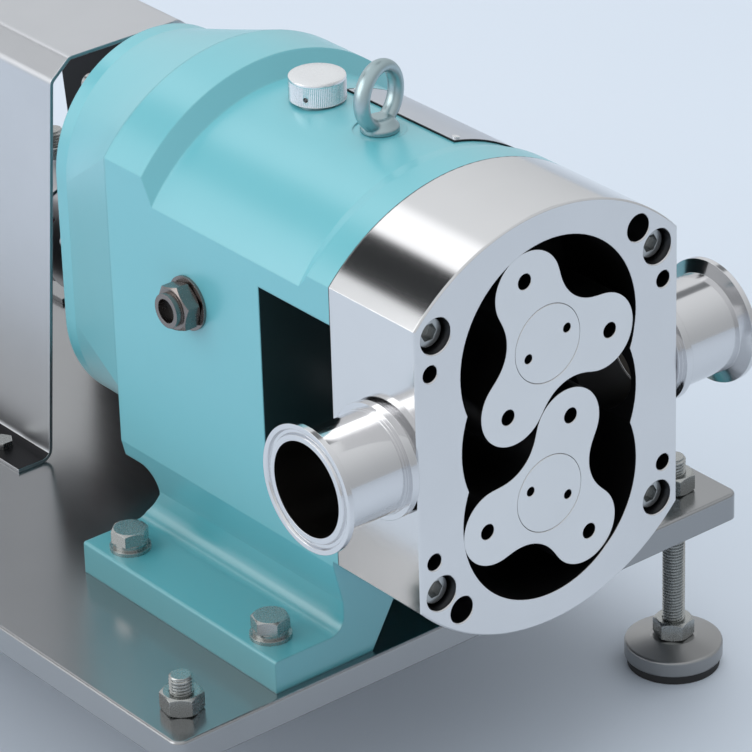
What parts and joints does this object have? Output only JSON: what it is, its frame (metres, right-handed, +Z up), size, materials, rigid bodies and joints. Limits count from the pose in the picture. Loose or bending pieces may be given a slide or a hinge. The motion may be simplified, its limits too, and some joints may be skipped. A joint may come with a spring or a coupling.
{
  "type": "rotary lobe pump",
  "caption": "Rotary lobe pump with meshed three-lobe rotors, clamp ports, a painted gearbox, a guarded shaft coupling and a folded base plate on levelling feet.",
  "frame": {"origin": "on the floor, under the middle of the whole pump", "axes": "+X to the right seen from the rotors' side, +Z up, the open pump head faces -Y and the shafts run along Y"},
  "size_m": [0.3712, 0.6692, 0.3823],
  "materials": {
    "polished_stainless": "polished and fine brushed",
    "turquoise_paint": "satin enamel on cast iron",
    "brushed_plate": "brushed sheet",
    "fastener_steel": "machined stainless",
    "breather_metal": "turned and knurled",
    "eye_bolt_zinc": "bright plated",
    "nameplate_metal": "satin blank",
    "sight_lens": "clear over dark oil",
    "machined_steel": "machined",
    "bearing_steel": "ground",
    "seal_metal": "machined",
    "seal_carbon": "hard ceramic ring",
    "black_rubber": "matt",
    "spider_elastomer": "satin"
  },
  "bodies": {
    "frame": {"base_plate": "brushed_plate", "base_ribs": "brushed_plate", "motor_pads": "brushed_plate", "plate_nuts": "fastener_steel", "pump_casing": "polished_stainless", "left_port": "polished_stainless", "right_port": "polished_stainless", "casing_screws": "fastener_steel", "seal_seats": "seal_carbon", "gearbox_housing": "turquoise_paint", "rear_cover": "turquoise_paint", "rear_cover_screws": "fastener_steel", "lip_seals": "black_rubber", "bearing_outer_rings": "bearing_steel", "sight_glass_body": "fastener_steel", "sight_glass_washer": "fastener_steel", "sight_glass_lens": "sight_lens", "drain_plug": "fastener_steel", "breather_neck": "breather_metal", "eye_bolt": "eye_bolt_zinc", "nameplate": "nameplate_metal", "nameplate_rivets": "nameplate_metal", "foot_bolts": "fastener_steel", "spring_washers": "fastener_steel", "flat_washers": "fastener_steel", "foot_bolt_nuts": "fastener_steel", "coupling_guard": "brushed_plate", "guard_screws": "fastener_steel"},
    "feet": {"levelling_studs": "fastener_steel", "foot_nuts": "fastener_steel", "foot_discs": "fastener_steel", "foot_pads": "black_rubber"},
    "breather_cap": {"breather_cap": "breather_metal"},
    "drive": {"drive_shaft": "machined_steel", "lower_rotor": "polished_stainless", "lower_rotor_cap": "polished_stainless", "drive_keys": "machined_steel", "drive_gear": "machined_steel", "drive_seal_ring": "seal_metal", "drive_seal_spring": "seal_metal", "drive_seal_collar": "seal_metal", "drive_inner_rings": "bearing_steel", "drive_spacer": "machined_steel", "drive_lock_nut": "machined_steel", "pump_hub": "machined_steel", "spider": "spider_elastomer", "motor_hub": "machined_steel"},
    "driven": {"driven_shaft": "machined_steel", "upper_rotor": "polished_stainless", "upper_rotor_cap": "polished_stainless", "driven_keys": "machined_steel", "driven_gear": "machined_steel", "driven_seal_ring": "seal_metal", "driven_seal_spring": "seal_metal", "driven_seal_collar": "seal_metal", "driven_inner_rings": "bearing_steel", "driven_spacer": "machined_steel", "driven_lock_nut": "machined_steel"},
    "drive_balls": {"drive_ball_sets": "bearing_steel"},
    "driven_balls": {"driven_ball_sets": "bearing_steel"}
  },
  "joints": [
    {"name": "drive_shaft_spin", "type": "hinge", "parent": "frame", "child": "drive", "pos_m": [0, -0.1272, 0.1974], "axis": [0, 1, 0], "continuous": true},
    {"name": "driven_shaft_spin", "type": "hinge", "parent": "frame", "child": "driven", "pos_m": [0, -0.1272, 0.2774], "axis": [0, 1, 0], "continuous": true},
    {"name": "drive_ball_spin", "type": "hinge", "parent": "frame", "child": "drive_balls", "pos_m": [0, -0.1272, 0.1974], "axis": [0, 1, 0], "continuous": true},
    {"name": "driven_ball_spin", "type": "hinge", "parent": "frame", "child": "driven_balls", "pos_m": [0, -0.1272, 0.2774], "axis": [0, 1, 0], "continuous": true},
    {"name": "breather_cap_lift", "type": "slide", "parent": "frame", "child": "breather_cap", "axis": [0, 0, 1], "range_m": [0, 0.02]},
    {"name": "feet_set", "type": "slide", "parent": "frame", "child": "feet", "axis": [0, 0, 1], "range_m": [-0.01, 0.015]}
  ],
  "couplings": [
    {"joint": "driven_shaft_spin", "follows": "drive_shaft_spin", "ratio": -1},
    {"joint": "drive_ball_spin", "follows": "drive_shaft_spin", "ratio": 0.396},
    {"joint": "driven_ball_spin", "follows": "drive_shaft_spin", "ratio": -0.396}
  ]
}
